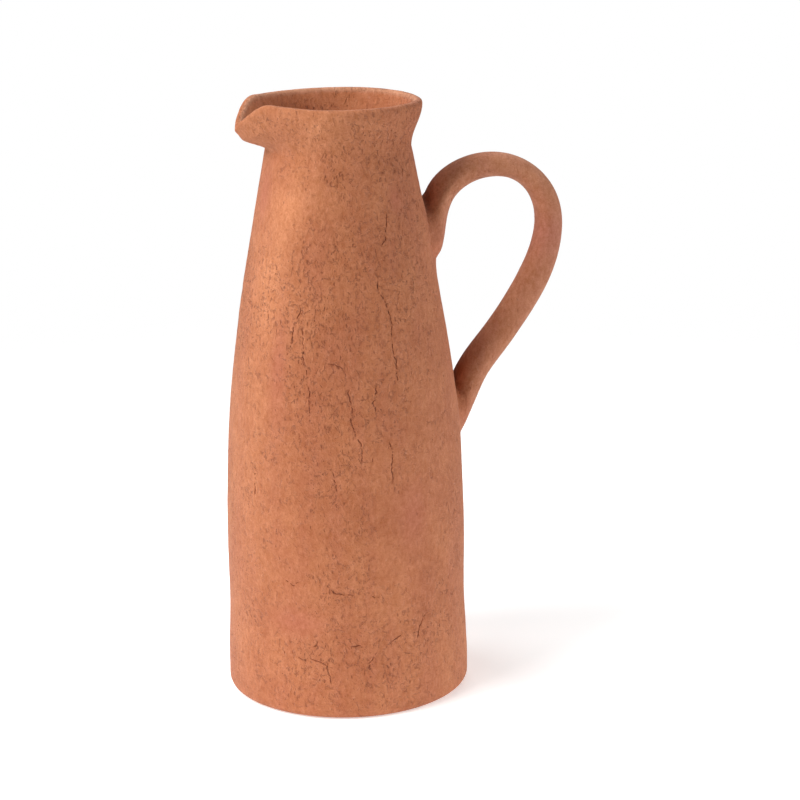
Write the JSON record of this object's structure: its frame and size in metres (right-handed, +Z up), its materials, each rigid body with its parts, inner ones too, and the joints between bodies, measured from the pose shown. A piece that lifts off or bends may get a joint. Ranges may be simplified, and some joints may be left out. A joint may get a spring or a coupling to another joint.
{
  "type": "ceramic pitcher",
  "caption": "Tall tapering unglazed terracotta pitcher with a flared collar pinched into a pouring beak and a looped handle on the side.",
  "frame": {"origin": "centre of the flat underside, on the body's own upright axis", "axes": "+Z up along the body's axis, +X towards the handle, -X towards the pouring beak, +Y across"},
  "size_m": [0.2065, 0.1434, 0.3521],
  "materials": {
    "base_clay": "matte unglazed, slightly gritty",
    "wall_clay": "matte unglazed, pitted and cracked by hand",
    "collar_clay": "matte unglazed, pale worn lip",
    "handle_clay": "matte unglazed, smoothed with a wet hand",
    "upper_wad_clay": "matte unglazed, smeared onto the wall",
    "lower_wad_clay": "matte unglazed, smeared onto the wall"
  },
  "bodies": {
    "root": {"base_slab": "base_clay", "body_wall": "wall_clay", "rim_collar": "collar_clay", "handle": "handle_clay", "upper_luting_wad": "upper_wad_clay", "lower_luting_wad": "lower_wad_clay"}
  },
  "joints": []
}
